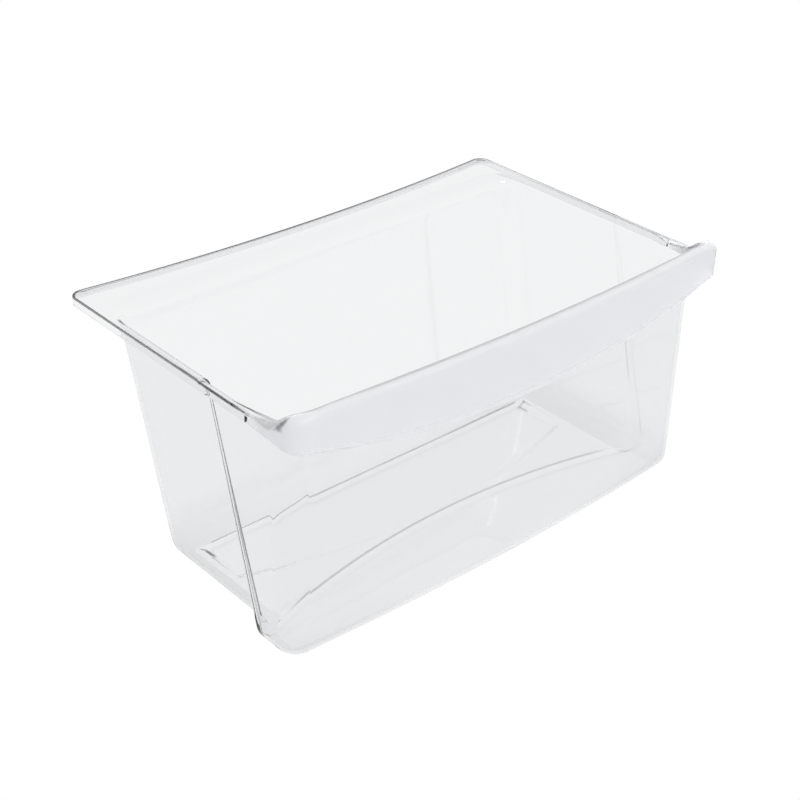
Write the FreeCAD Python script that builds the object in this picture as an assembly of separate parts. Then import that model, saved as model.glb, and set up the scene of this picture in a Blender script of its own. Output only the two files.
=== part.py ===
"""Clear plastic crisper drawer for a refrigerator, moulded in one piece.

Built with x across, y from the face of the handle to the back, and z up from the underside.
The finished drawer is then moved so that its origin is at the middle of its box, at the bottom.
"""
import FreeCAD, Part
import math
import os

V = FreeCAD.Vector

# Overall sizes, in millimetres
RIM_WIDTH = 400.0
DEPTH = 266.0
RIM_HEIGHT = 185.5
WALL = 2.0

# Rear tub: everything behind the step in the side walls
TUB_WIDTH = 373.0
SIDE_DRAFT = 1.8
BACK_LEAN = 13.5
BACK_FLANGE = 38.6
TUB_CORNER_RADIUS = 22.0
TUB_FLOOR_RADIUS = 18.0

# Front section: a little wider and lower than the tub, with a bowed front wall
FRONT_WIDTH = 388.0
FRONT_SETBACK = 18.5
FRONT_BOW = 7.0
FRONT_CORNER_RADIUS = 18.0
FRONT_FLOOR_RADIUS = 14.0
FLOOR_STEP = 4.0

# Step line between the two, bowed to the back over the floor and leaning back up the sides
STEP_SETBACK = 92.0
STEP_BOW = 34.5
STEP_LEAN = 15.6

# Rim flange, its turned-down lip and the rounding of the mouth
LIP_DEPTH = 7.0
RIM_BACK_BOW = 11.5
RIM_BACK_RADIUS = 9.0
RIM_EDGE_RADIUS = 1.0
MOUTH_RADIUS = 5.0

# Handle: the raised front of the rim, with a skirt that is deepest in the middle
HANDLE_RISE = 17.5
HANDLE_BOW = 9.0
HANDLE_LEDGE = 7.5
HANDLE_CORNER_RADIUS = 14.0
SKIRT_DEPTH = 49.0
SKIRT_END_DROP = 4.0
POCKET_DEPTH = 54.0
RAMP_START = 12.0
RAMP_KNEE = 26.0
RAMP_KNEE_SHARE = 0.62
RAMP_FOOT = 35.0
RAMP_FOOT_SHARE = 0.17
RAMP_CLEARANCE = 1.5
RAMP_RADIUS = 10.0
NOTCH_WIDTH = 3.0

# Sunk pad in the tub floor, which is the rear foot
PAD_WIDTH = 327.0
PAD_BACK_MARGIN = 13.5
PAD_SIDE_SHARE = 0.63
PAD_CORNER_RADIUS = 4.0

# Room left above and outside the drawer by the solids that trim it
MARGIN = 20.0

HANDLE_TOP = RIM_HEIGHT + HANDLE_RISE
RAMP_END = STEP_SETBACK - STEP_BOW - RAMP_CLEARANCE
ABOVE = HANDLE_TOP + MARGIN
HALF_RIM = RIM_WIDTH / 2


def tangent(degrees):
    """Tangent of an angle in degrees."""
    return math.tan(math.radians(degrees))


def cosine(degrees):
    """Cosine of an angle in degrees."""
    return math.cos(math.radians(degrees))


def outline(corners_and_bulges):
    """Closed wire through plan points (x, y, z), each followed by the middle point of an arc or None."""
    edges = []
    count = len(corners_and_bulges)
    for index, (start, through) in enumerate(corners_and_bulges):
        end = corners_and_bulges[(index + 1) % count][0]
        if through is None:
            edges.append(Part.LineSegment(V(*start), V(*end)).toShape())
        else:
            edges.append(Part.Arc(V(*start), V(*through), V(*end)).toShape())
    return Part.Wire(edges)


def prism(wire, height):
    """Solid between a level wire and the same wire higher up."""
    return Part.Face(wire).extrude(V(0, 0, height))


def along(shape, direction):
    """Straight edges of a shape that run in a direction."""
    found = []
    for edge in shape.Edges:
        if isinstance(edge.Curve, Part.Line) and abs(edge.Curve.Direction.dot(direction)) > 0.9999:
            found.append(edge)
    return found


def edges_at(shape, height, behind):
    """Edges that lie wholly at one height and not at or in front of a distance from the handle face."""
    found = []
    for edge in shape.Edges:
        box = edge.BoundBox
        level = abs(box.ZMin - height) < 1e-4 and abs(box.ZMax - height) < 1e-4
        if level and box.YMax > behind + 1e-4:
            found.append(edge)
    return found


def across_section(points):
    """Solid that carries a polygon of (y, z) points right across the drawer."""
    reach = HALF_RIM + MARGIN
    wire = Part.makePolygon([V(-reach, y, z) for y, z in points + points[:1]])
    return Part.Face(wire).extrude(V(2 * reach, 0, 0))


def back_wall_at(height, inset):
    """Distance from the handle face to the leaning back wall, at a height."""
    at_rim = DEPTH - BACK_FLANGE - inset / cosine(BACK_LEAN)
    return at_rim - (RIM_HEIGHT - height) * tangent(BACK_LEAN)


def tub_block(inset, top):
    """Rear tub as a full solid, drawn in by inset, from the end of the handle's ramp to its back wall."""
    floor = FLOOR_STEP + inset
    wires = []
    for z in (floor, top):
        half = TUB_WIDTH / 2 - inset / cosine(SIDE_DRAFT) + (z - FLOOR_STEP) * tangent(SIDE_DRAFT)
        back = back_wall_at(z, inset)
        wires.append(Part.makePolygon([V(-half, RAMP_END, z), V(half, RAMP_END, z), V(half, back, z),
                                       V(-half, back, z), V(-half, RAMP_END, z)]))
    block = Part.makeLoft(wires, True, True)
    uprights = [edge for edge in block.Edges
                if edge.BoundBox.ZLength > 1.0 and edge.BoundBox.YMax > RAMP_END + 1.0]
    block = block.makeFillet(TUB_CORNER_RADIUS - inset, uprights)
    return block.makeFillet(TUB_FLOOR_RADIUS - inset, edges_at(block, floor, RAMP_END))


def flared_tub(inset, radius, slab_bottom, slab_top):
    """Rear tub with its top edge flared out into a slab by a rounding."""
    tub = tub_block(inset, slab_bottom)
    corner = V(-HALF_RIM, RAMP_END, slab_bottom)
    joined = tub.fuse(Part.makeBox(RIM_WIDTH, DEPTH - RAMP_END, slab_top - slab_bottom, corner))
    mouth_edges = []
    for edge in edges_at(joined, slab_bottom, RAMP_END):
        box = edge.BoundBox
        if box.YMax < DEPTH - 1.0 and max(-box.XMin, box.XMax) < HALF_RIM - 0.1:
            mouth_edges.append(edge)
    return joined.makeFillet(radius, mouth_edges)


def front_outline(z, front, bow, inset, back):
    """Plan of the front section at a height: bowed front, rounded front corners, straight sides."""
    half = FRONT_WIDTH / 2 - inset
    radius = FRONT_CORNER_RADIUS - inset
    arc_radius = (half ** 2 + bow ** 2) / (2 * bow)
    centre_y = front + arc_radius
    # The corner arc touches the side at y = corner_y and the bowed front at (touch_x, touch_y)
    corner_x = half - radius
    corner_y = centre_y - math.sqrt((arc_radius - radius) ** 2 - corner_x ** 2)
    scale = arc_radius / (arc_radius - radius)
    touch_x = corner_x * scale
    touch_y = centre_y - (centre_y - corner_y) * scale
    middle = V(1.0, 0.0, 0.0) + V(corner_x, corner_y - centre_y, 0.0).normalize()
    middle = middle.normalize() * radius
    return outline([
        ((half, back, z), None),
        ((-half, back, z), None),
        ((-half, corner_y, z), (-corner_x - middle.x, corner_y + middle.y, z)),
        ((-touch_x, touch_y, z), (0.0, front, z)),
        ((touch_x, touch_y, z), (corner_x + middle.x, corner_y + middle.y, z)),
        ((half, corner_y, z), None),
    ])


def front_block(inset):
    """Front section as a full solid: an upright bowed wall, leaning forward from the pocket to the ledge."""
    back = back_wall_at(FLOOR_STEP, 0.0)
    lean_start = HANDLE_TOP - POCKET_DEPTH
    share = (ABOVE - lean_start) / POCKET_DEPTH
    lower = (FRONT_SETBACK + inset, FRONT_BOW)
    upper = (FRONT_SETBACK + inset + (HANDLE_LEDGE - WALL - FRONT_SETBACK) * share,
             FRONT_BOW + (HANDLE_BOW - FRONT_BOW) * share)
    level = front_outline(inset, *lower, inset, back)
    box = prism(level, lean_start - inset)
    box = box.makeFillet(FRONT_FLOOR_RADIUS - inset,
                         [edge for edge in edges_at(box, inset, 0.0) if edge.BoundBox.YMin < back - 1.0])
    leaning = Part.makeLoft([front_outline(lean_start, *lower, inset, back),
                             front_outline(ABOVE, *upper, inset, back)], True, True)
    return box.fuse(leaning)


def step_space(inset):
    """Space of the front section: in front of an arc in plan that leans back as it rises."""
    reach = HALF_RIM + MARGIN
    radius = (HALF_RIM ** 2 + STEP_BOW ** 2) / (2 * STEP_BOW)
    centre_y = STEP_SETBACK - radius
    side_y = centre_y + math.sqrt((radius - inset) ** 2 - reach ** 2)
    lean = tangent(STEP_LEAN)
    bottom = -MARGIN
    shift = (bottom - FLOOR_STEP) * lean
    plan = outline([
        ((reach, -RIM_HEIGHT, bottom), None),
        ((-reach, -RIM_HEIGHT, bottom), None),
        ((-reach, side_y + shift, bottom), (0.0, STEP_SETBACK - inset + shift, bottom)),
        ((reach, side_y + shift, bottom), None),
    ])
    rise = ABOVE + MARGIN - bottom
    return Part.Face(plan).extrude(V(0.0, rise * lean, rise))


def pad(inset):
    """Wedge under the tub floor: flush with it at the step, and down to the foot level at its back edge."""
    half = PAD_WIDTH / 2 - inset
    floor = FLOOR_STEP + inset
    pad_end = back_wall_at(FLOOR_STEP, 0.0) - PAD_BACK_MARGIN
    back = pad_end - inset
    front = STEP_SETBACK + inset
    side_front = pad_end - PAD_SIDE_SHARE * (pad_end - STEP_SETBACK) + inset
    plan = outline([
        ((half, back, 0.0), None),
        ((-half, back, 0.0), None),
        ((-half, side_front, 0.0), (0.0, front, 0.0)),
        ((half, side_front, 0.0), None),
    ])
    plate = prism(plan, floor + WALL)
    plate = plate.makeFillet(PAD_CORNER_RADIUS, along(plate, V(0, 0, 1)))
    wedge = across_section([(front, floor + WALL), (front, floor), (pad_end, inset), (pad_end, floor + WALL)])
    return plate.common(wedge)


def rim_block(inset):
    """Rim outline carried up to the top of the rim: level at the back, ramped up to the handle in front.

    Only the outer one, with no inset, has its top edge rounded.
    """
    half = HALF_RIM - inset
    low = RIM_HEIGHT - inset
    high = HANDLE_TOP - inset
    plan = outline([
        ((half, DEPTH - inset, 0.0), (0.0, DEPTH - RIM_BACK_BOW - inset, 0.0)),
        ((-half, DEPTH - inset, 0.0), None),
        ((-half, HANDLE_BOW + inset, 0.0), (0.0, inset, 0.0)),
        ((half, HANDLE_BOW + inset, 0.0), None),
    ])
    block = prism(plan, ABOVE)
    uprights = along(block, V(0, 0, 1))
    front_uprights = [edge for edge in uprights if edge.BoundBox.YMax < DEPTH / 2]
    block = block.makeFillet(HANDLE_CORNER_RADIUS - inset, front_uprights)
    back_uprights = [edge for edge in along(block, V(0, 0, 1)) if edge.BoundBox.YMin > DEPTH - RIM_BACK_BOW]
    block = block.makeFillet(RIM_BACK_RADIUS - inset, back_uprights)
    under = across_section([(-MARGIN, -MARGIN), (-MARGIN, high), (RAMP_START, high),
                            (RAMP_KNEE, low + RAMP_KNEE_SHARE * HANDLE_RISE),
                            (RAMP_FOOT, low + RAMP_FOOT_SHARE * HANDLE_RISE), (RAMP_END, low),
                            (DEPTH + MARGIN, low), (DEPTH + MARGIN, -MARGIN)])
    kinks = [edge for edge in along(under, V(1, 0, 0))
             if RAMP_START - 1.0 < edge.BoundBox.YMin < RAMP_FOOT + 1.0]
    block = block.common(under.makeFillet(RAMP_RADIUS, kinks))
    if inset:
        return block
    crown = [edge for edge in block.Edges if edge.BoundBox.ZMin > low - 1.0 and edge.BoundBox.YLength > 0.01]
    return block.makeFillet(RIM_EDGE_RADIUS, crown)


def lip_space():
    """Space that the lip and the handle skirt may fill: above the lip's edge, and inside the skirt's arc.

    The lip also drops evenly from the notch to the end of the skirt.
    """
    lip_edge = RIM_HEIGHT - LIP_DEPTH
    reach = HALF_RIM + MARGIN
    lip = Part.makeBox(2 * reach, DEPTH + 2 * MARGIN, ABOVE - lip_edge, V(-reach, -MARGIN, lip_edge))
    low = HANDLE_TOP - SKIRT_DEPTH
    rise = lip_edge - low
    radius = (HALF_RIM ** 2 + rise ** 2) / (2 * rise)
    thickness = MARGIN + HANDLE_BOW + HANDLE_CORNER_RADIUS
    disc = Part.makeCylinder(radius, thickness, V(0.0, -MARGIN, low + radius), V(0, 1, 0))
    below = Part.makeBox(2 * reach, thickness, lip_edge, V(-reach, -MARGIN, 0.0))
    end = across_section([(-MARGIN, lip_edge), (0.0, lip_edge - SKIRT_END_DROP), (RAMP_END, lip_edge),
                          (RAMP_END, ABOVE), (-MARGIN, ABOVE)])
    return lip.fuse([disc.common(below), end])


def notches():
    """Slots that part the side lips from the ends of the handle skirt."""
    height = LIP_DEPTH - WALL + MARGIN
    slots = []
    for x in (-HALF_RIM - MARGIN, HALF_RIM - WALL):
        slots.append(Part.makeBox(WALL + MARGIN, NOTCH_WIDTH, height,
                                  V(x, RAMP_END, RIM_HEIGHT - WALL - height)))
    return slots


def crisper_drawer():
    """The moulding: tub, front section and rim joined, then hollowed to the wall thickness."""
    outside = flared_tub(0.0, MOUTH_RADIUS - WALL, RIM_HEIGHT - WALL, RIM_HEIGHT)
    outside = outside.fuse([front_block(0.0).common(step_space(0.0)), pad(0.0)])
    hollow = flared_tub(WALL, MOUTH_RADIUS, RIM_HEIGHT, ABOVE)
    hollow = hollow.fuse([front_block(WALL).common(step_space(WALL)), pad(WALL)])
    rim = rim_block(0.0).cut(rim_block(WALL)).common(lip_space()).cut(notches())
    return outside.common(rim_block(WALL / 2)).fuse(rim).cut(hollow).removeSplitter()


drawer = crisper_drawer()
rim_box = rim_block(0.0).optimalBoundingBox(False)
drawer.translate(V(0.0, -rim_box.Center.y, 0.0))
os.makedirs("parts", exist_ok=True)
drawer.exportStep("parts/crisper_drawer.step")
print("solids", len(drawer.Solids), "valid", drawer.isValid(), "volume cm3", round(drawer.Volume / 1000, 1))
print("box", drawer.BoundBox)
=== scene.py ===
"""Clear plastic crisper drawer for a refrigerator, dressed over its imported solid.

The drawer is one closed skin, worked out in millimetres with y from the handle face to the back and
z up from the underside, and then moved to the row frame in metres.
"""
import math

import bpy
import numpy as np
from mathutils import Matrix, Vector


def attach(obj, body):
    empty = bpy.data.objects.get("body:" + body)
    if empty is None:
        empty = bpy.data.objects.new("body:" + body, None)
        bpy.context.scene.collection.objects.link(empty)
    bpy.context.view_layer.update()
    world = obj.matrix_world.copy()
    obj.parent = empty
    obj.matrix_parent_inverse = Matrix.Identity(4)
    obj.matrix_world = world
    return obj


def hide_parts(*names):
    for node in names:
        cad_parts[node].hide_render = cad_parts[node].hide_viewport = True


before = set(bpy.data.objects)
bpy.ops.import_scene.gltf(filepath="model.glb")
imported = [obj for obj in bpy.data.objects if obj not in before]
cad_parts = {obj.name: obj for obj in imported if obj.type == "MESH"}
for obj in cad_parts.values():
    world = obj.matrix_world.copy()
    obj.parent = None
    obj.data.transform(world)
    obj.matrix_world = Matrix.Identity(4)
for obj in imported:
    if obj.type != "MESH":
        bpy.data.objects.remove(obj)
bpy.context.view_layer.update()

# Overall sizes of the moulding, in millimetres
RIM_WIDTH, DEPTH, RIM_HEIGHT, WALL = 400.0, 266.0, 185.5, 2.0
CENTRE_Y, MILLIMETRE = 132.466, 0.001

# Rear tub
TUB_WIDTH, SIDE_DRAFT, BACK_LEAN, BACK_FLANGE = 373.0, 1.8, 13.5, 38.6
TUB_CORNER_RADIUS, TUB_FLOOR_RADIUS = 22.0, 18.0

# Front section
FRONT_WIDTH, FRONT_SETBACK, FRONT_BOW = 388.0, 18.5, 7.0
FRONT_CORNER_RADIUS, FRONT_FLOOR_RADIUS, FLOOR_STEP = 18.0, 14.0, 4.0

# Step between the two: its line, its roundings outside and inside the wall, and its rise over the floor
STEP_SETBACK, STEP_BOW, STEP_LEAN = 92.0, 34.5, 15.6
STEP_ROUNDING, STEP_INSIDE_ROUNDING = 0.7, 20.0
STEP_TIGHT_SHARE, STEP_WIDE_SHARE, STEP_INSIDE_SHARE = 0.3, 0.65, 0.48
FLOOR_STEP_LENGTH, FLOOR_STEP_BLEND, FLOOR_BACK_KEEP = 1.6, 12.0, 8.0

# Rim flange, its turned-down lip and the rounding of the mouth
LIP_DEPTH, LIP_ROUNDING, LIP_INNER_RADIUS = 7.0, 0.9, 0.3
RIM_BACK_BOW, RIM_BACK_RADIUS, RIM_EDGE_RADIUS, RIM_STEP_LENGTH = 11.5, 9.0, 1.0, 3.0
RIDGE_RADIUS, SIDE_MOUTH_RADIUS, BACK_MOUTH_RADIUS = 0.9, 6.4, 14.0
MOUTH_RISE_START, MOUTH_RISE_LENGTH, LEAST_UNDER_RADIUS = 0.2, 0.4, 0.8

# Handle, with a ramp and a notch at each end
HANDLE_RISE, HANDLE_BOW, HANDLE_LEDGE, HANDLE_CORNER_RADIUS = 17.5, 9.0, 7.5, 14.0
HANDLE_EDGE_RADIUS, HANDLE_INNER_RADIUS, SHOULDER_WIDTH, SHOULDER_DROP = 5.5, 1.4, 32.0, 5.0
SKIRT_DEPTH, SKIRT_END_DROP, POCKET_DEPTH = 49.0, 4.0, 54.0
RAMP_START, RAMP_KNEE, RAMP_FOOT, RAMP_END = 12.0, 26.0, 35.0, 56.0
RAMP_KNEE_SHARE, RAMP_FOOT_SHARE, RAMP_ROUNDING = 0.62, 0.17, 3.0
NOTCH_WIDTH, NOTCH_EDGE = 3.0, 0.02

# Sunk pad in the floor: its outline and the lengths of its sloping edges
PAD_WIDTH, PAD_BACK_MARGIN, PAD_BACK_INSET, PAD_SIDE_SHARE = 327.0, 13.5, 1.4, 0.63
PAD_SIDE_SLOPE, PAD_BACK_SLOPE, PAD_FRONT_SLOPE = 1.6, 2.9, 5.0

# Least sizes of the lip's face, of the rounding under it and of the wall behind it
LEAST_FACE, LEAST_ROUNDING, LEAST_RISE = 0.1, 0.05, 0.02

HALF_RIM = RIM_WIDTH / 2
HANDLE_TOP = RIM_HEIGHT + HANDLE_RISE
DRAFT = math.tan(math.radians(SIDE_DRAFT))
BACK_SLOPE = math.tan(math.radians(BACK_LEAN))
STEP_SLOPE = math.tan(math.radians(STEP_LEAN))
STEP_ARC = (HALF_RIM ** 2 + STEP_BOW ** 2) / (2 * STEP_BOW)
TUB_END = DEPTH - BACK_FLANGE

# Half of the way round, from the middle of the front to the middle of the back, in runs of columns
RUNS = {"front": 44, "front_corner": 16, "side_front": 26, "step": 8,
        "side_rear": 40, "rear_corner": 16, "back": 44}
NAMES = list(RUNS)
STARTS = dict(zip(NAMES, np.cumsum([0] + list(RUNS.values()))))
HALF = sum(RUNS.values())
COLUMN = np.arange(HALF + 1)
RUN = np.concatenate([np.full(RUNS[name], index) for index, name in enumerate(NAMES)] + [[len(NAMES) - 1]])
SHARE = np.concatenate([np.arange(RUNS[name]) / RUNS[name] for name in NAMES] + [[1.0]])
AT = {name: RUN == index for index, name in enumerate(NAMES)}
FRONT = AT["front"] | AT["front_corner"]
SIDE_START = STARTS["side_front"]
NOTCH = [SIDE_START + column for column in (10, 11, 12, 13)]
HANDLE_FADE, STEP_TURN = 7.0, 0.375

# The floors share the columns out: those of the front and half of its corner lie across, the rest deep
ACROSS = RUNS["front"] + RUNS["front_corner"] // 2
DEEP = HALF - 2 * ACROSS

# Rows of the skin, and how the rows of the flange and the lip are spaced
FLOOR_ROWS, WALL_ROWS, MOUTH_ROWS, UNDER_ROWS, EDGE_ROWS, LIP_ROWS, CEILING_ROWS = 13, 26, 8, 6, 9, 4, 5
QUARTERS, THIRDS = (0.25, 0.5, 0.75), (0.33, 0.66)
EDGE_LINES, EDGE_LINE_ROOM = (2.4, 1.7), 8.0
MEETING_ROUNDS = 8

# Marks on the surface, by rows from the start of the rim, columns of the half, millimetres and tones; besides
# the handle's frost they are painted dark lines and painted shade
LEDGE_ROWS, RAMP_ROWS, SKIRT_BACK_ROW = 4, 8, 17
FROST_END, FROST_FADE = 11, 6.0
# Rows and tones of the painted dark lines on the rim's edge, the ramp, the fold and the step, and of the
# painted shade low on the outside
EDGE_SHADE_ROW, EDGE_SHADES, FRONT_EDGE_SHADE = 4, (1.0,) * 7 + (0.8, 0.3), 0.3
RAMP_SHADE, RAMP_BAND, RAMP_FADE = 0.4, 12.0, 3.0
FOLD_ROW, FOLD_COUNT, FOLD_LEAD, FOLD_SLANT = 4, 10, 3.5, 0.5
FOLD_PEAK, FOLD_WIDTH, FOLD_GROWTH = 1.3, 1.1, 5
STEP_SHADE, STEP_SHADE_WIDTH, STEP_SHADE_MARGIN = 0.8, 0.5, 30.0
SHADE_TONE, SHADE_FRONT_SHARE, SHADE_TOP, SHADE_FADE = 0.22, 0.5, 40.0, 34.0
SHADE_X, SHADE_X_REACH, SHADE_Y, SHADE_Y_REACH = 60.0, 120.0, 50.0, 40.0
SHARP_ANGLE = 40.0

LAMP_AIM = (0.0, 0.0, 0.1)


def smooth(t):
    """Cubic that rises from 0 at t = 0 to 1 at t = 1 and is level outside."""
    t = np.clip(t, 0.0, 1.0)
    return t * t * (3 - 2 * t)


def blend(start, end, share):
    """Value a share of the way from start to end."""
    return start + (end - start) * share


TUB_SHARE = np.where(RUN > NAMES.index("step"), 1.0, np.where(AT["step"], smooth(SHARE), 0.0))


def step_line(x, z, inset):
    """Distance back of the step at x and z: an arc in plan that moves back evenly with height."""
    return STEP_SETBACK - STEP_ARC + np.sqrt((STEP_ARC - inset) ** 2 - x ** 2) + (z - FLOOR_STEP) * STEP_SLOPE


def bowed_front(half, front, bow, radius):
    """Bowed front with two corner arcs: arc through the middle and the side lines, corners tangent to both.

    Gives the x and y of the front and corner runs, the end of the corner, and the plan normals there.
    """
    arc = (half ** 2 + bow ** 2) / (2 * bow)
    middle_y = front + arc
    corner_x = half - radius
    corner_y = middle_y - np.sqrt((arc - radius) ** 2 - corner_x ** 2)
    touch = corner_x * arc / (arc - radius)
    x = touch * SHARE
    y = middle_y - np.sqrt(arc ** 2 - x ** 2)
    turn = np.arctan2(corner_y - middle_y, corner_x) * (1 - SHARE)
    corner = AT["front_corner"]
    return (np.where(corner, corner_x + radius * np.cos(turn), x),
            np.where(corner, corner_y + radius * np.sin(turn), y),
            corner_y,
            np.where(corner, np.cos(turn), x / arc),
            np.where(corner, np.sin(turn), (y - middle_y) / arc))


def wall_plan(z, inset):
    """Plan x, y and normal of a wall at height z in each column: the front section, the step and the tub."""
    rise = np.clip((z - (HANDLE_TOP - POCKET_DEPTH)) / POCKET_DEPTH, 0.0, None)
    front = inset + blend(FRONT_SETBACK, HANDLE_LEDGE - WALL, rise)
    bow = blend(FRONT_BOW, HANDLE_BOW, rise)
    half = FRONT_WIDTH / 2 - inset
    x, y, corner_y, nx, ny = bowed_front(half, front, bow, FRONT_CORNER_RADIUS - inset)

    tub = TUB_WIDTH / 2 - inset / math.cos(math.radians(SIDE_DRAFT)) + (z - FLOOR_STEP) * DRAFT
    back = TUB_END - inset / math.cos(math.radians(BACK_LEAN)) - (RIM_HEIGHT - z) * BACK_SLOPE
    radius = TUB_CORNER_RADIUS - inset
    depth = inset / WALL
    rounding = np.minimum(blend(STEP_ROUNDING, STEP_INSIDE_ROUNDING, depth),
                          (half - tub) * blend(STEP_TIGHT_SHARE, STEP_INSIDE_SHARE, depth))
    wide = (half - tub) * blend(STEP_WIDE_SHARE, STEP_INSIDE_SHARE, depth)

    start = step_line(half, z, inset) - rounding
    end = step_line(tub, z, inset) + wide
    x = np.where(AT["side_front"], half, x)
    y = np.where(AT["side_front"], blend(corner_y, start, SHARE), y)

    # The step turns in by a tight quarter arc, runs across, and turns back by a wide one
    turn = np.clip(SHARE / STEP_TURN, 0.0, 1.0) * math.pi / 2
    across = np.clip((SHARE - STEP_TURN) / (1 - 2 * STEP_TURN), 0.0, 1.0)
    back_turn = np.clip((SHARE - 1 + STEP_TURN) / STEP_TURN, 0.0, 1.0) * math.pi / 2
    step_x = half - rounding * (1 - np.cos(turn)) - (half - tub - rounding - wide) * across
    step_x = step_x - wide * np.sin(back_turn)
    step_y = start + rounding * np.sin(turn) + (end - start - rounding - wide) * across
    step_y = step_y + wide * (1 - np.cos(back_turn))
    x = np.where(AT["step"], step_x, x)
    y = np.where(AT["step"], step_y, y)

    x = np.where(AT["side_rear"], tub, x)
    y = np.where(AT["side_rear"], blend(end, back - radius, SHARE), y)
    turn = SHARE * math.pi / 2
    x = np.where(AT["rear_corner"], tub - radius + radius * np.cos(turn), x)
    y = np.where(AT["rear_corner"], back - radius + radius * np.sin(turn), y)
    x = np.where(AT["back"], (tub - radius) * (1 - SHARE), x)
    y = np.where(AT["back"], back, y)

    side = AT["side_front"] | AT["step"] | AT["side_rear"]
    nx = np.where(side, 1.0, np.where(AT["rear_corner"], np.cos(turn), np.where(AT["back"], 0.0, nx)))
    ny = np.where(side, 0.0, np.where(AT["rear_corner"], np.sin(turn), np.where(AT["back"], 1.0, ny)))
    return x, y, nx, ny


def wall_slope(z, inset):
    """How far a wall moves out along its normal for each unit of height, taken over one unit."""
    x0, y0, nx, ny = wall_plan(z - 0.5, inset)
    x1, y1, _, _ = wall_plan(z + 0.5, inset)
    return (x1 - x0) * nx + (y1 - y0) * ny


def rim_plan(d):
    """Plan x and y of the rim's outline drawn in by d.

    The handle is bowed, the sides are straight, the back is hollow and the corners are round.
    """
    half = HALF_RIM - d
    x, y, corner_y, _, _ = bowed_front(half, d, HANDLE_BOW, HANDLE_CORNER_RADIUS - d)
    step_y = step_line(HALF_RIM - WALL, RIM_HEIGHT, 0.0)
    step_end = step_y + RIM_STEP_LENGTH

    # The notch has two close columns at each edge
    marks = [SIDE_START, *NOTCH, STARTS["step"]]
    corner_end = np.broadcast_to(corner_y, RUN.shape)[SIDE_START]
    notch_end = RAMP_END + NOTCH_WIDTH
    places = [corner_end, RAMP_END, RAMP_END + NOTCH_EDGE, notch_end - NOTCH_EDGE, notch_end, step_y]
    y = np.where(AT["side_front"], np.interp(COLUMN, marks, places), y)
    y = np.where(AT["step"], blend(step_y, step_end, SHARE), y)

    radius = RIM_BACK_RADIUS - d
    arc = (half ** 2 + RIM_BACK_BOW ** 2) / (2 * RIM_BACK_BOW)
    middle_y = DEPTH - RIM_BACK_BOW - d + arc
    corner_x = half - radius
    rear_y = middle_y - np.sqrt((arc + radius) ** 2 - corner_x ** 2)
    touch = corner_x * arc / (arc + radius)
    x = np.where(FRONT, x, half)
    y = np.where(AT["side_rear"], blend(step_end, rear_y, SHARE), y)
    turn = np.arctan2(middle_y - rear_y, -corner_x) * SHARE
    x = np.where(AT["rear_corner"], corner_x + radius * np.cos(turn), x)
    y = np.where(AT["rear_corner"], rear_y + radius * np.sin(turn), y)
    x = np.where(AT["back"], touch * (1 - SHARE), x)
    y = np.where(AT["back"], middle_y - np.sqrt(arc ** 2 - x ** 2), y)
    return x, y


def rim_top(x, y):
    """Height of the rim's top: straight lines from the handle down to the level rim, their joints rounded.

    The ends of the handle are also drawn down by an arc across, which makes its shoulders.
    """
    places = np.array([RAMP_START, RAMP_KNEE, RAMP_FOOT, RAMP_END])
    heights = HANDLE_RISE * np.array([1.0, RAMP_KNEE_SHARE, RAMP_FOOT_SHARE, 0.0])
    slopes = np.concatenate([[0.0], np.diff(heights) / np.diff(places), [0.0]])
    height = np.full(np.shape(y), HANDLE_TOP)
    for place, turn in zip(places, np.diff(slopes)):
        past = y - place
        joint = (past + RAMP_ROUNDING) ** 2 / (4 * RAMP_ROUNDING)
        bend = np.where(past < -RAMP_ROUNDING, 0.0, np.where(past > RAMP_ROUNDING, past, joint))
        height = height + turn * bend
    shoulder = np.clip((np.abs(x) - HALF_RIM) / SHOULDER_WIDTH + 1, 0.0, None)
    return np.minimum(height, HANDLE_TOP - SHOULDER_DROP * shoulder ** 2)


def lip_edge(x, y, top):
    """Height of the lip's lower edge: level, dropping from the notch to the handle, an arc under the handle.

    In the notch it is up at the flange.
    """
    low = HANDLE_TOP - SKIRT_DEPTH
    level = RIM_HEIGHT - LIP_DEPTH
    radius = (HALF_RIM ** 2 + (level - low) ** 2) / (2 * (level - low))
    arc = np.where(FRONT, low + radius - np.sqrt(radius ** 2 - x ** 2), level)
    end = level - SKIRT_END_DROP * np.clip(1 - y / RAMP_END, 0.0, 1.0)
    edge = np.minimum(arc, end)
    edge[NOTCH[1:3]] = RIM_HEIGHT - WALL - LEAST_FACE
    return np.minimum(edge, top - WALL - LEAST_FACE)


def floor_rows(inset):
    """Rows of the rounding from floor to wall, from the floor up: an arc tangent to both in each column."""
    floor = inset + FLOOR_STEP * TUB_SHARE
    radius = blend(FRONT_FLOOR_RADIUS, TUB_FLOOR_RADIUS, TUB_SHARE) - inset
    slope = wall_slope(floor + radius, inset)
    lean = np.arctan(slope)
    along = np.where(AT["side_front"], SHARE, np.where(AT["step"], 1.0, 0.0))
    along = np.where(AT["side_rear"], 1 - SHARE, along)
    rows = []
    for t in np.linspace(0.0, 1.0, FLOOR_ROWS):
        turn = blend(math.pi / 2, lean, t)
        z = floor + radius * (1 - np.sin(turn))
        x, y, nx, ny = wall_plan(z, inset)
        push = radius * (np.cos(turn) - np.tan(math.pi / 4 - lean / 2)) - (z - floor) * slope
        moved = x + nx * push
        y = y + ny * push + along * (step_line(moved, z, inset) - step_line(x, z, inset))
        rows.append(np.stack([moved, y, z], 1))
    return rows


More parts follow.
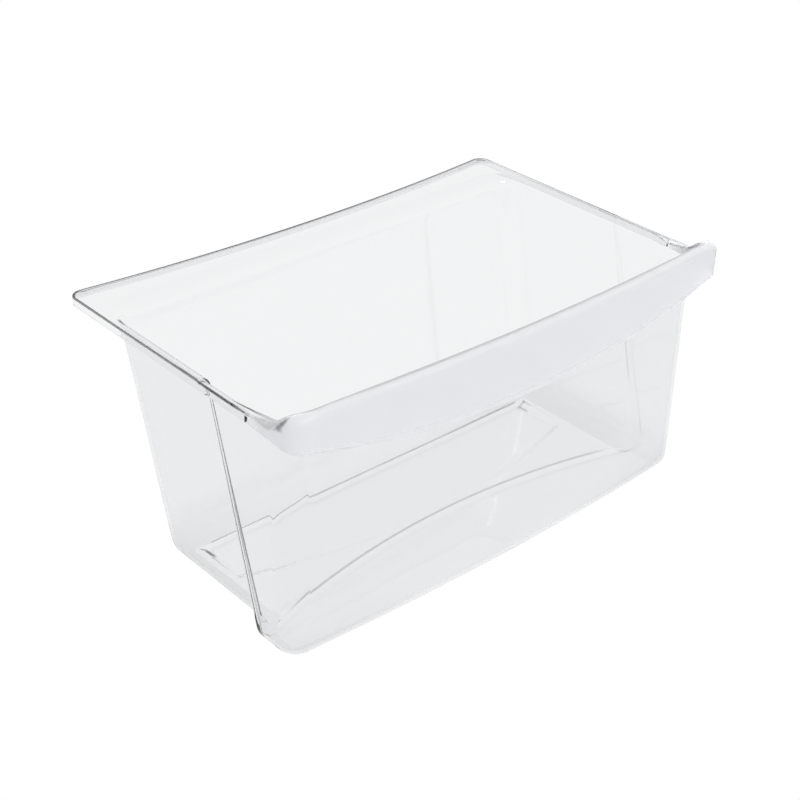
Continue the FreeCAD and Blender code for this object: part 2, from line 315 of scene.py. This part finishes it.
def mouth_rows(inset, drop, radius, count):
    """Rows of the rounding from wall to flange, from the wall up: an arc tangent to both in each column.

    The flange lies drop below the rim's top, and the wall's height there is found in a few rounds.
    """
    z = np.full(HALF + 1, RIM_HEIGHT)
    for _ in range(MEETING_ROUNDS):
        z = rim_top(*wall_plan(z, inset)[:2]) - drop
    slope = wall_slope(z - radius, inset)
    lean = np.arctan(slope)
    x, y, nx, ny = wall_plan(z, inset)
    rows = []
    for t in np.linspace(0.0, 1.0, count):
        turn = blend(lean, math.pi / 2, t)
        out = radius * (np.tan(math.pi / 4 - lean / 2) - np.cos(turn))
        height = z - radius * (1 - np.sin(turn))
        # The part of the wall's shift that runs along the wall is kept, so that the columns stay in line
        low_x, low_y, _, _ = wall_plan(height, inset)
        along_x, along_y = low_x - x, low_y - y
        normal = along_x * nx + along_y * ny
        px = x + along_x - normal * nx + nx * out
        py = y + along_y - normal * ny + ny * out
        rows.append(np.stack([px, py, height + rim_top(px, py) - drop - z], 1))
    return rows


def wall_rows(low, high, inset):
    """Rows of a wall between the ends of two roundings, at even heights in each column."""
    rows = []
    for t in np.linspace(0.0, 1.0, WALL_ROWS + 2)[1:-1]:
        z = blend(low[:, 2], high[:, 2], t)
        x, y, _, _ = wall_plan(z, inset)
        rows.append(np.stack([x, y, z], 1))
    return rows


def rim_row(d, below):
    """One row of the rim: the outline drawn in by d, at a depth below the rim's top."""
    x, y = rim_plan(d)
    return np.stack([x, y, rim_top(x, y) - below], 1)


def rim_row_at(d, z):
    """One row of the rim: the outline drawn in by d, at heights z."""
    x, y = rim_plan(d)
    return np.stack([x, y, z], 1)


def flange_row(start, end, share, below):
    """One row of the flange: a share of the way between two rows, at a depth below the rim's top."""
    row = blend(start, end, share)
    row[:, 2] = rim_top(row[:, 0], row[:, 1]) - below
    return row


def sunk_pad(x, y, inset):
    """Depth of the sunk pad: a wedge that deepens evenly to its back edge, inside a bowed outline."""
    half = PAD_WIDTH / 2 - inset
    end = TUB_END - (RIM_HEIGHT - FLOOR_STEP) * BACK_SLOPE - PAD_BACK_MARGIN
    front = STEP_SETBACK + inset
    side_front = end - PAD_SIDE_SHARE * (end - STEP_SETBACK) + inset
    back = min(end - inset, end - PAD_BACK_INSET)
    edge = front + (side_front - front) * (x / half) ** 2
    depth = FLOOR_STEP * np.clip((y - front) / (end - front), 0.0, 1.0)
    sides = smooth((half - np.abs(x)) / PAD_SIDE_SLOPE)
    return depth * sides * smooth((back - y) / PAD_BACK_SLOPE) * smooth((y - edge) / PAD_FRONT_SLOPE)


def floor_patch(ring, inset):
    """Floor inside a ring: columns shared out across, rows that follow the step's arc, and the sunk pad."""
    step_start, step_end = STARTS["step"] - ACROSS, STARTS["side_rear"] - ACROSS
    side = ring[ACROSS:ACROSS + DEEP + 1]
    front = ring[:ACROSS + 1]
    back = ring[HALF - ACROSS:][::-1]
    row = np.arange(DEEP + 1)[:, None]
    share = smooth(row / step_start)
    x = blend(front[:, 0] / front[-1, 0], back[:, 0] / back[-1, 0], share) * side[:, :1]
    z = np.repeat(side[:, 2:], ACROSS + 1, 1)
    arc = side[:, 1:2] + step_line(x, z, inset) - step_line(side[:, :1], z, inset)

    # Away from the side the step is a short steep rise instead of the side's longer turn
    rise = np.clip((row - step_start) / (step_end - step_start), 0.0, 1.0)
    short = step_line(x, z, inset) + (rise - 0.5) * FLOOR_STEP_LENGTH
    inward = smooth((side[:, :1] - x) / FLOOR_STEP_BLEND)
    arc = np.where((row >= step_start) & (row <= step_end), blend(arc, short, inward), arc)

    # The rows share out the depth in front of the step and behind it, with the wall's spacing near the back
    before = (side[:, 1:2] - side[0, 1]) / (side[step_start, 1] - side[0, 1])
    y_front = blend(front[:, 1], arc[step_start], before)
    reach = side[-1, 1] - side[:, 1:2]
    longest = reach[step_end]
    ratio = (back[:, 1] - arc[step_end]) / longest
    spread = smooth((reach - FLOOR_BACK_KEEP) / (longest - FLOOR_BACK_KEEP))
    y_rear = back[:, 1] - reach * blend(1, ratio, spread)
    y = np.where(row <= step_start, y_front, np.where(row < step_end, arc, y_rear))
    z = z - np.where(row >= step_end, sunk_pad(x, y, inset), 0.0)
    return np.stack([x, y, z], 2)


def mirrored(row):
    """A row of the right half carried on round the left half."""
    left = row[-2:0:-1].copy()
    left[:, 0] *= -1
    return np.concatenate([row, left])


def both_halves(values):
    """Values of the right half's columns carried on round the left half."""
    return np.concatenate([values, values[..., -2:0:-1]], -1)


def drawer_rows():
    """All rows of the skin, from the edge of the inside floor, up, over the rim and down to the underside."""
    side_rise = smooth((SHARE - MOUTH_RISE_START) / MOUTH_RISE_LENGTH)
    mouth = np.where(FRONT, RIDGE_RADIUS, SIDE_MOUTH_RADIUS)
    mouth = np.where(AT["side_front"], blend(RIDGE_RADIUS, SIDE_MOUTH_RADIUS, side_rise), mouth)
    mouth = np.where(AT["rear_corner"], blend(SIDE_MOUTH_RADIUS, BACK_MOUTH_RADIUS, smooth(SHARE)), mouth)
    mouth = np.where(AT["back"], BACK_MOUTH_RADIUS, mouth)
    under = np.maximum(mouth - WALL, LEAST_UNDER_RADIUS)
    handle = smooth((NOTCH[0] - COLUMN) / HANDLE_FADE)
    edge_radius = blend(RIM_EDGE_RADIUS, HANDLE_EDGE_RADIUS, handle)
    inner_radius = blend(LIP_INNER_RADIUS, HANDLE_INNER_RADIUS, handle)

    inside_floor = floor_rows(WALL)
    inside_mouth = mouth_rows(WALL, 0.0, mouth, MOUTH_ROWS)
    inside = inside_floor + wall_rows(inside_floor[-1], inside_mouth[0], WALL) + inside_mouth

    # Flange from the mouth outwards, with two rows close to the edge, and the edge's rounding
    mouth_end = inside_mouth[-1]
    edge_start = rim_row(edge_radius, 0.0)
    rim = [flange_row(mouth_end, edge_start, t, 0.0) for t in QUARTERS]
    room = np.maximum(np.hypot(*(mouth_end - edge_start)[:, :2].T), EDGE_LINE_ROOM)
    rim += [flange_row(edge_start, mouth_end, (line / room)[:, None], 0.0) for line in EDGE_LINES]
    for turn in np.linspace(0.0, math.pi / 2, EDGE_ROWS):
        rim.append(rim_row(edge_radius * (1 - math.sin(turn)), edge_radius * (1 - math.cos(turn))))

    # Lip: down its face, round its lower edge, up its back and round into the flange
    x, y = rim_plan(0.0)
    top = rim_top(x, y)
    face_top = top - edge_radius
    edge = np.minimum(lip_edge(x, y, top), face_top - LEAST_FACE)
    rounding = np.clip((face_top - edge) / 2, LEAST_ROUNDING, LIP_ROUNDING)
    face_end = edge + rounding
    rim += [rim_row_at(0.0, blend(face_top, face_end, t)) for t in QUARTERS]
    for turn in np.linspace(0.0, math.pi / 2, LIP_ROWS):
        rim.append(rim_row_at(LIP_ROUNDING * (1 - math.cos(turn)), face_end - rounding * math.sin(turn)))
    for turn in np.linspace(math.pi / 2, math.pi, LIP_ROWS):
        d = WALL - LIP_ROUNDING * (1 + math.cos(turn))
        rim.append(rim_row_at(d, face_end - rounding * math.sin(turn)))
    rise = np.maximum(rim_row(WALL, WALL + inner_radius)[:, 2] - face_end, LEAST_RISE)
    rim += [rim_row_at(WALL, face_end + rise * t) for t in (*THIRDS, 1.0)]
    for turn in np.linspace(0.0, math.pi / 2, CEILING_ROWS)[1:]:
        d, below = inner_radius * (1 - math.cos(turn)), inner_radius * (1 - math.sin(turn))
        rim.append(rim_row(WALL + d, WALL + below))

    outside_mouth = mouth_rows(0.0, WALL, under, UNDER_ROWS)
    for t in THIRDS:
        rim.append(flange_row(rim[-1], outside_mouth[-1], t, WALL))
    outside_floor = floor_rows(0.0)
    outside = outside_floor + wall_rows(outside_floor[-1], outside_mouth[0], 0.0) + outside_mouth
    return inside + rim + outside[::-1], len(inside), len(rim)


def patch_faces(ring_start, first_new, columns, facing):
    """Vertex numbers of a floor's squares: its border is a row of the skin and its inside is new vertices."""
    wide = 2 * ACROSS
    numbers = np.empty((DEEP + 1, wide + 1), dtype=np.int64)
    numbers[1:-1, 1:-1] = first_new + np.arange((DEEP - 1) * (wide - 1)).reshape(DEEP - 1, wide - 1)
    k = np.arange(ACROSS + 1)
    j = np.arange(DEEP + 1)
    half = columns // 2
    numbers[0, ACROSS + k] = k
    numbers[0, ACROSS - k] = -k % columns
    numbers[-1, ACROSS + k] = half - k
    numbers[-1, ACROSS - k] = half + k
    numbers[j, wide] = ACROSS + j
    numbers[j, 0] = columns - ACROSS - j
    border = np.zeros(numbers.shape, dtype=bool)
    border[[0, -1]] = True
    border[:, [0, -1]] = True
    numbers[border] += ring_start
    a, b, c, d = numbers[:-1, :-1], numbers[:-1, 1:], numbers[1:, 1:], numbers[1:, :-1]
    order = (a, b, c, d) if facing > 0 else (a, d, c, b)
    return np.stack(order, 2).reshape(-1, 4)


def full_patch(half_patch):
    """Inside vertices of a floor on both halves, without its border."""
    left = half_patch[:, :0:-1].copy()
    left[:, :, 0] *= -1
    return np.concatenate([left, half_patch], 1)[1:-1, 1:-1].reshape(-1, 3)


def steep_part_shade(points):
    """Painted dark line on the ramp's steep part: 1 between its knee and its foot on both sides, fading at
    the ends.
    """
    x, y, _ = np.moveaxis(points, -1, 0)
    side = np.abs(x) > FRONT_WIDTH / 2 - RAMP_BAND
    return side * smooth((y - RAMP_KNEE) / RAMP_FADE + 1) * smooth((RAMP_FOOT - y) / RAMP_FADE + 1)


def end_fold_shade():
    """Painted dark line of the fold at the handle's end: a slanting line across the rounded edge where the
    ramp begins.

    It grows evenly from nothing at the edge's top to 1 halfway to its foot.
    """
    row = np.arange(FOLD_COUNT)[:, None]
    line = SIDE_START - FOLD_LEAD + FOLD_SLANT * row
    near = np.clip(FOLD_PEAK - np.abs(COLUMN - line) / FOLD_WIDTH, 0.0, 1.0)
    return near * np.clip(row / FOLD_GROWTH, 0.0, 1.0)


def low_shade(points):
    """Soft shade of the outside's lower end: most at the floor, none in the middle, and half in front."""
    x, y, z = np.moveaxis(points, -1, 0)
    share = blend(SHADE_FRONT_SHARE, 1.0, smooth((y - SHADE_Y) / SHADE_Y_REACH))
    sideways = smooth((np.abs(x) - SHADE_X) / SHADE_X_REACH)
    return SHADE_TONE * share * sideways * smooth((SHADE_TOP - z) / SHADE_FADE)


def step_shade_line(points):
    """Painted dark line on the inside floor's step: a line on its arc's upper edge, fading around it and to
    its ends.
    """
    x, y, z = points.T
    across = np.abs(y - step_line(x, z, WALL) - FLOOR_STEP_LENGTH / 2)
    ends = smooth((HALF_RIM - STEP_SHADE_MARGIN - np.abs(x)) / STEP_SHADE_MARGIN)
    return STEP_SHADE * smooth(1.0 - across / STEP_SHADE_WIDTH) * ends


def surface_marks(band, inside_count, rim_count, inner_points, outer_points):
    """Marks on the skin's points, from 0 to 1: the handle's frost, the skirt's grain, and the painted shade
    and painted dark lines of the edges.
    """
    row = np.arange(len(band))[:, None] - inside_count

    # The handle's own surface: the ledge, the face and the back of the skirt in the front columns
    own = (row >= -LEDGE_ROWS) & (row < rim_count)
    frost = own * both_halves(smooth((SIDE_START + FROST_END - COLUMN) / FROST_FADE))
    grain = frost * (row >= SKIRT_BACK_ROW)

    # Painted shade and painted dark lines where light is led away: the rim's outer edge behind the notches,
    # the ramp, the fold and the lower end
    behind = both_halves(np.where(COLUMN >= NOTCH[3], 1.0, FRONT_EDGE_SHADE * AT["side_front"]))
    painted_shade = np.zeros(band.shape[:2])
    first_edge, first_fold = inside_count + EDGE_SHADE_ROW, inside_count + FOLD_ROW
    painted_shade[first_edge:first_edge + len(EDGE_SHADES)] = np.array(EDGE_SHADES)[:, None] * behind
    ramp = slice(inside_count - RAMP_ROWS, inside_count)
    fold = slice(first_fold, first_fold + FOLD_COUNT)
    outside = slice(inside_count + rim_count, None)
    for rows, mark in ((ramp, RAMP_SHADE * steep_part_shade(band[ramp])),
                       (fold, both_halves(end_fold_shade())),
                       (outside, low_shade(band[outside]))):
        painted_shade[rows] = np.maximum(painted_shade[rows], mark)

    inner, outer = np.zeros(len(inner_points)), np.zeros(len(outer_points))
    return {"handle_frost": np.concatenate([frost.reshape(-1), inner, outer]),
            "skirt_grain": np.concatenate([grain.reshape(-1), inner, outer]),
            "painted_shade_marks": np.concatenate([painted_shade.reshape(-1), step_shade_line(inner_points), outer])}


def drawer_mesh():
    """Closed skin of the drawer: one band of rows round it and a floor patch inside and on the underside."""
    rows, inside_count, rim_count = drawer_rows()
    band = np.stack([mirrored(row) for row in rows])
    count, columns = band.shape[:2]
    inner_points = full_patch(floor_patch(rows[0], WALL))
    outer_points = full_patch(floor_patch(rows[-1], 0.0))
    points = np.concatenate([band.reshape(-1, 3), inner_points, outer_points])

    here = np.arange(count * columns).reshape(count, columns)
    ahead = np.roll(here, -1, 1)
    skin = np.stack([here[:-1], here[1:], ahead[1:], ahead[:-1]], 2).reshape(-1, 4)
    first_inner = count * columns
    inner = patch_faces(0, first_inner, columns, 1)
    outer = patch_faces((count - 1) * columns, first_inner + len(inner_points), columns, -1)
    faces = np.concatenate([skin, inner, outer])

    marks = surface_marks(band, inside_count, rim_count, inner_points, outer_points)
    points[:, 1] -= CENTRE_Y
    mesh = bpy.data.meshes.new("crisper_drawer_skin")
    mesh.from_pydata((points * MILLIMETRE).tolist(), [], faces.tolist())
    mesh.polygons.foreach_set("use_smooth", np.ones(len(mesh.polygons), dtype=bool))
    mesh.set_sharp_from_angle(angle=math.radians(SHARP_ANGLE))
    for name, values in marks.items():
        layer = mesh.attributes.new(name, "FLOAT", "POINT")
        layer.data.foreach_set("value", values.astype(np.float32))
    mesh.update()
    return mesh


def add_node(nodes, kind, values):
    """New node of a kind, with values set on its inputs by name."""
    node = nodes.new(kind)
    for name, value in values.items():
        node.inputs[name].default_value = value
    return node


def mark_output(nodes, name):
    """Output of a new node that gives one of the skin's marks."""
    node = nodes.new("ShaderNodeAttribute")
    node.attribute_name = name
    return node.outputs["Fac"]


def colour_mix(nodes):
    """New node that mixes two colours."""
    node = nodes.new("ShaderNodeMix")
    node.data_type = "RGBA"
    return node


def clear_plastic():
    """Clear plastic: polished walls with faint moulding waves, a cool tint in depth, a frosted handle and
    painted shade on its edges.
    """
    material = bpy.data.materials.new("clear_plastic_with_painted_shade")
    material.use_nodes = True
    nodes, links = material.node_tree.nodes, material.node_tree.links
    shader = nodes["Principled BSDF"]
    shader.inputs["IOR"].default_value = 1.5
    frost = mark_output(nodes, "handle_frost")

    depth_tint = nodes.new("ShaderNodeVolumeAbsorption")
    depth_tint.inputs["Color"].default_value = (0.76, 0.78, 0.80, 1.0)
    depth_tint.inputs["Density"].default_value = 32.0
    links.new(depth_tint.outputs["Volume"], nodes["Material Output"].inputs["Volume"])

    place = nodes.new("ShaderNodeTexCoord")
    waves = add_node(nodes, "ShaderNodeTexNoise", {"Scale": 14.0, "Detail": 1.0})
    links.new(place.outputs["Object"], waves.inputs["Vector"])
    bump = add_node(nodes, "ShaderNodeBump", {"Strength": 0.06, "Distance": 0.004})
    links.new(waves.outputs["Fac"], bump.inputs["Height"])
    links.new(bump.outputs["Normal"], shader.inputs["Normal"])

    # Roughness: an uneven polish, and the coarser back of the skirt
    grain = add_node(nodes, "ShaderNodeTexNoise", {"Scale": 60.0, "Detail": 3.0})
    links.new(place.outputs["Object"], grain.inputs["Vector"])
    polish = add_node(nodes, "ShaderNodeMapRange", {"To Min": 0.015, "To Max": 0.05})
    links.new(grain.outputs["Fac"], polish.inputs["Value"])
    rough = nodes.new("ShaderNodeMath")
    rough.operation = "MULTIPLY_ADD"
    rough.inputs[1].default_value = 0.35
    links.new(mark_output(nodes, "skirt_grain"), rough.inputs[0])
    links.new(polish.outputs["Result"], rough.inputs[2])
    links.new(rough.outputs["Value"], shader.inputs["Roughness"])

    clear = add_node(nodes, "ShaderNodeMapRange", {"To Min": 1.0, "To Max": 0.55})
    links.new(frost, clear.inputs["Value"])
    links.new(clear.outputs["Result"], shader.inputs["Transmission Weight"])

    # Colour: the clear walls, the frosted handle, and the painted shade and painted dark lines of the edges
    haze = colour_mix(nodes)
    haze.inputs["A"].default_value = (0.912, 0.915, 0.921, 1.0)
    haze.inputs["B"].default_value = (0.865, 0.868, 0.884, 1.0)
    links.new(frost, haze.inputs["Factor"])
    # Near-black colour mixed in as painted shade and painted dark lines
    painted_shade = colour_mix(nodes)
    painted_shade.inputs["B"].default_value = (0.06, 0.06, 0.065, 1.0)
    links.new(haze.outputs["Result"], painted_shade.inputs["A"])
    links.new(mark_output(nodes, "painted_shade_marks"), painted_shade.inputs["Factor"])
    links.new(painted_shade.outputs["Result"], shader.inputs["Base Color"])
    return material


def pale_floor():
    """Plain pale floor that reads as white to the camera, in reflections and through the plastic."""
    material = bpy.data.materials.new("pale_floor")
    material.use_nodes = True
    nodes, links = material.node_tree.nodes, material.node_tree.links
    shader = nodes["Principled BSDF"]
    shader.inputs["Base Color"].default_value = (0.8, 0.8, 0.8, 1.0)
    shader.inputs["Roughness"].default_value = 0.9
    glow = nodes.new("ShaderNodeEmission")
    ray = nodes.new("ShaderNodeLightPath")
    seen = ray.outputs["Is Camera Ray"]
    for kind in ("Is Transmission Ray", "Is Glossy Ray"):
        either = nodes.new("ShaderNodeMath")
        either.operation = "ADD"
        either.use_clamp = True
        links.new(seen, either.inputs[0])
        links.new(ray.outputs[kind], either.inputs[1])
        seen = either.outputs["Value"]
    mix = nodes.new("ShaderNodeMixShader")
    links.new(seen, mix.inputs["Fac"])
    links.new(shader.outputs["BSDF"], mix.inputs[1])
    links.new(glow.outputs["Emission"], mix.inputs[2])
    links.new(mix.outputs["Shader"], nodes["Material Output"].inputs["Surface"])
    return material


def studio_world():
    """White surroundings that darken overhead for what the plastic reflects and bends."""
    world = bpy.data.worlds.new("studio")
    world.use_nodes = True
    nodes, links = world.node_tree.nodes, world.node_tree.links
    background = nodes["Background"]
    background.inputs["Strength"].default_value = 1.0
    place = nodes.new("ShaderNodeTexCoord")
    parts = nodes.new("ShaderNodeSeparateXYZ")
    links.new(place.outputs["Generated"], parts.inputs["Vector"])
    ramp = nodes.new("ShaderNodeValToRGB")
    level, overhead = ramp.color_ramp.elements
    level.position, level.color = 0.0, (1.0, 1.0, 1.0, 1.0)
    overhead.position, overhead.color = 1.0, (0.70, 0.70, 0.71, 1.0)
    ramp.color_ramp.elements.new(0.35).color = (0.95, 0.95, 0.95, 1.0)
    links.new(parts.outputs["Z"], ramp.inputs["Fac"])
    ray = nodes.new("ShaderNodeLightPath")
    choose = colour_mix(nodes)
    choose.inputs["B"].default_value = (1.0, 1.0, 1.0, 1.0)
    links.new(ray.outputs["Is Camera Ray"], choose.inputs["Factor"])
    links.new(ramp.outputs["Color"], choose.inputs["A"])
    links.new(choose.outputs["Result"], background.inputs["Color"])
    bpy.context.scene.world = world


def area_lamp(name, place, size, watts):
    """Square soft lamp, turned to the drawer and kept out of what the plastic mirrors and bends."""
    data = bpy.data.lights.new(name, "AREA")
    data.size = size
    data.energy = watts
    lamp = bpy.data.objects.new(name, data)
    bpy.context.scene.collection.objects.link(lamp)
    lamp.location = place
    lamp.rotation_mode = "QUATERNION"
    lamp.rotation_quaternion = (Vector(LAMP_AIM) - Vector(place)).to_track_quat("-Z", "Y")
    lamp.visible_glossy = False
    lamp.visible_transmission = False
    return lamp


def photo_camera():
    """Camera of the photograph: azimuth, elevation, roll, focal length and place were fitted to its rim."""
    azimuth, elevation, roll = math.radians(-42.13), math.radians(31.05), math.radians(1.40)
    focal_pixels, photo_pixels, sensor_width = 1571.45, 800.0, 36.0
    eye = Vector((-0.67863, -0.74444, 0.69042))
    back = Vector((math.sin(azimuth) * math.cos(elevation), -math.cos(azimuth) * math.cos(elevation),
                   math.sin(elevation)))
    right = (-back).cross(Vector((0.0, 0.0, 1.0))).normalized()
    up = right.cross(-back)
    across = math.cos(roll) * right + math.sin(roll) * up
    upright = math.cos(roll) * up - math.sin(roll) * right
    data = bpy.data.cameras.new("camera")
    data.sensor_width = sensor_width
    data.lens = focal_pixels / photo_pixels * sensor_width
    data.clip_start, data.clip_end = 0.01, 50.0
    camera = bpy.data.objects.new("camera", data)
    bpy.context.scene.collection.objects.link(camera)
    turn = Matrix((across, upright, back)).transposed().to_4x4()
    camera.matrix_world = Matrix.Translation(eye) @ turn
    bpy.context.scene.camera = camera


drawer = bpy.data.objects.new("crisper_drawer_skin", drawer_mesh())
bpy.context.scene.collection.objects.link(drawer)
drawer.data.materials.append(clear_plastic())
drawer.visible_shadow = False
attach(drawer, "root")
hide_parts("crisper_drawer")

bpy.ops.mesh.primitive_plane_add(size=8.0, location=(0.0, 0.0, -0.0005))
ground = bpy.context.object
ground.name = "floor"
ground.data.materials.append(pale_floor())

# Only the glint lamp is mirrored, in the handle and the rim
studio_world()
area_lamp("key_lamp", (0.9, -1.2, 1.5), 0.9, 5.5)
area_lamp("fill_lamp", (0.95, 1.0, 1.4), 1.0, 19.0)
area_lamp("glint_lamp", (-0.5, -0.9, 1.7), 0.45, 7.0).visible_glossy = True
photo_camera()
bpy.context.scene.view_settings.view_transform = "Standard"
